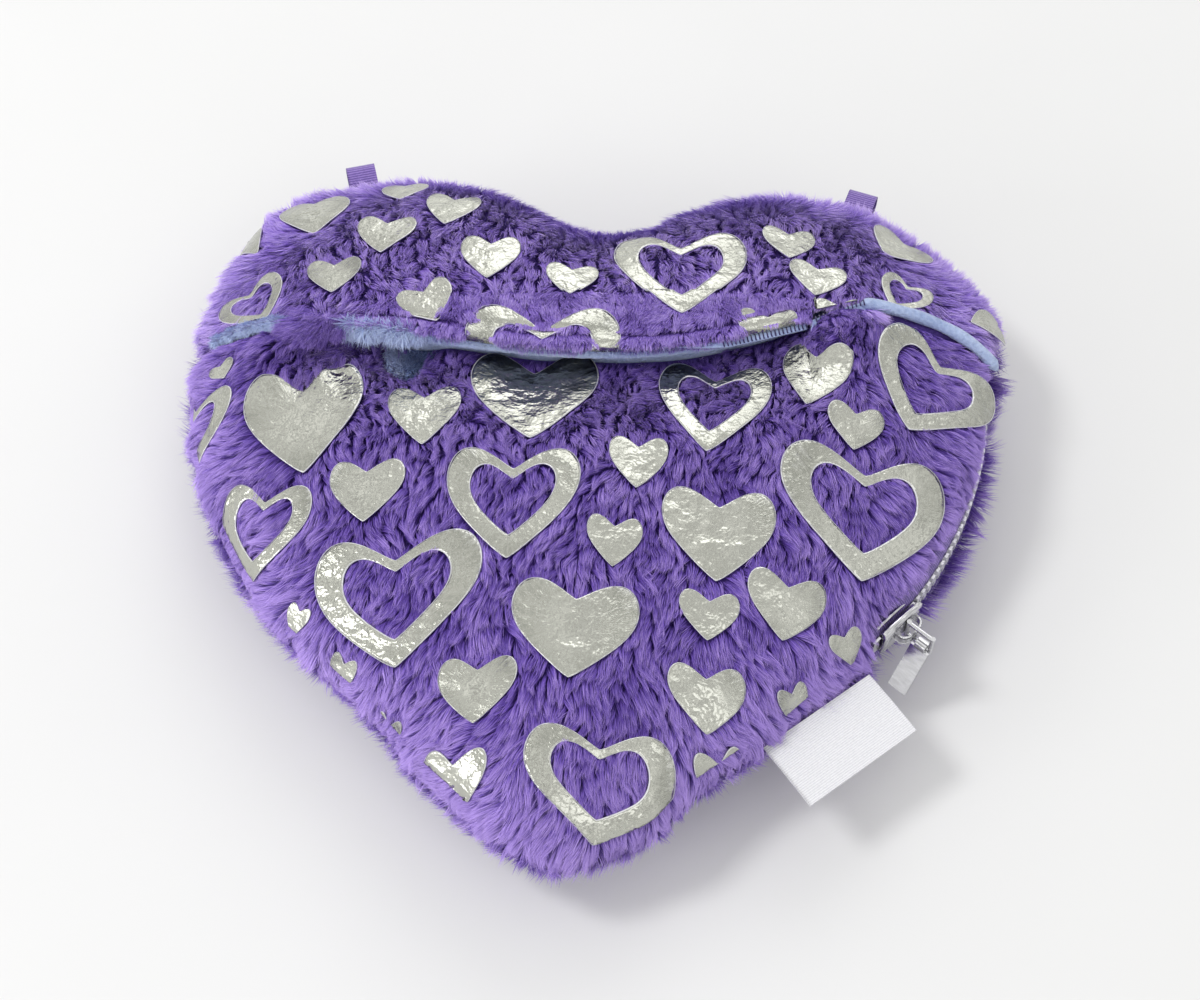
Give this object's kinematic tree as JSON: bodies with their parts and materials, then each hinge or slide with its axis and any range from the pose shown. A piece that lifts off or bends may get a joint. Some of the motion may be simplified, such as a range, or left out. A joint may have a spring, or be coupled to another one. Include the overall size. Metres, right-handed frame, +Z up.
{
  "type": "heart shaped plush purse",
  "caption": "Heart shaped plush fur purse with foil heart pattern, front flap pocket, side zip, two strap loops and a blank care label.",
  "frame": {"origin": "centre of the bounding box's underside, on the table, with the purse lying on its back", "axes": "+Z up out of the front, -Y towards the tip of the heart, +X towards the zip"},
  "size_m": [0.2642, 0.2572, 0.0748],
  "materials": {
    "fur_back": "long pile plush fur, satin sheen",
    "fur_front": "long pile plush fur, satin sheen",
    "fur_yoke": "long pile plush fur, satin sheen",
    "fur_flap": "long pile plush fur, satin sheen",
    "wadding": "soft matt fibre wadding",
    "fleece": "short pile fleece, matt",
    "zip_tape": "woven herringbone tape, matt",
    "zip_chain": "bright plated metal teeth",
    "zip_metal": "polished chrome plate",
    "ribbon": "ribbed grosgrain ribbon, satin",
    "label": "ribbed woven satin, white",
    "foil": "crinkled mirror like silver foil print"
  },
  "bodies": {
    "root": {"back_panel": "fur_back", "front_panel": "fur_front", "yoke_panel": "fur_yoke", "back_wadding": "wadding", "front_wadding": "wadding", "yoke_wadding": "wadding", "back_lining": "fleece", "pocket_lining_front": "fleece", "yoke_lining": "fleece", "main_partition": "fleece", "pocket_partition": "fleece", "yoke_facing": "fleece", "panel_binding": "fleece", "yoke_piping": "fleece", "zip_tape_front": "zip_tape", "zip_tape_back": "zip_tape", "zip_teeth_front": "zip_chain", "zip_teeth_back": "zip_chain", "zip_top_stops": "zip_metal", "zip_bottom_stop": "zip_metal", "foil_front": "foil", "foil_yoke": "foil"},
    "flap": {"front_flap": "fur_flap", "flap_lining": "fleece", "flap_piping": "fleece", "foil_flap": "foil"},
    "slider": {"zip_slider": "zip_metal"},
    "link": {"pull_link": "zip_metal"},
    "tab": {"pull_tab": "zip_metal"},
    "loop_left": {"strap_loop_left": "ribbon"},
    "loop_right": {"strap_loop_right": "ribbon"},
    "label": {"care_label": "label"}
  },
  "joints": [
    {"name": "flap_open", "type": "hinge", "parent": "root", "child": "flap", "pos_m": [0, 0.04823, 0.0746], "axis": [-0.9975, -0.0702, 0], "range_deg": [0, 75]},
    {"name": "zip_travel", "type": "hinge", "parent": "root", "child": "slider", "pos_m": [-0.00728, 0.04105, 0.032], "axis": [0, 0, 1], "range_deg": [0, 38.5]},
    {"name": "link_swing", "type": "hinge", "parent": "slider", "child": "link", "pos_m": [0.10108, -0.04496, 0.032], "axis": [0, 0, 1], "range_deg": [-25, 25]},
    {"name": "tab_swing", "type": "hinge", "parent": "link", "child": "tab", "pos_m": [0.10586, -0.04875, 0.02875], "axis": [0.7833, -0.6217, 0], "range_deg": [-20, 80]},
    {"name": "loop_left_fold", "type": "hinge", "parent": "root", "child": "loop_left", "pos_m": [-0.08567, 0.11568, 0.03226], "axis": [0.9563, 0.2924, 0], "range_deg": [-60, 45]},
    {"name": "loop_right_fold", "type": "hinge", "parent": "root", "child": "loop_right", "pos_m": [0.08568, 0.11571, 0.032], "axis": [0.9563, -0.2924, 0], "range_deg": [-60, 60]},
    {"name": "label_fold", "type": "hinge", "parent": "root", "child": "label", "pos_m": [0.08909, -0.06178, 0.032], "axis": [-0.7673, -0.6413, 0], "range_deg": [-50, 60]}
  ]
}
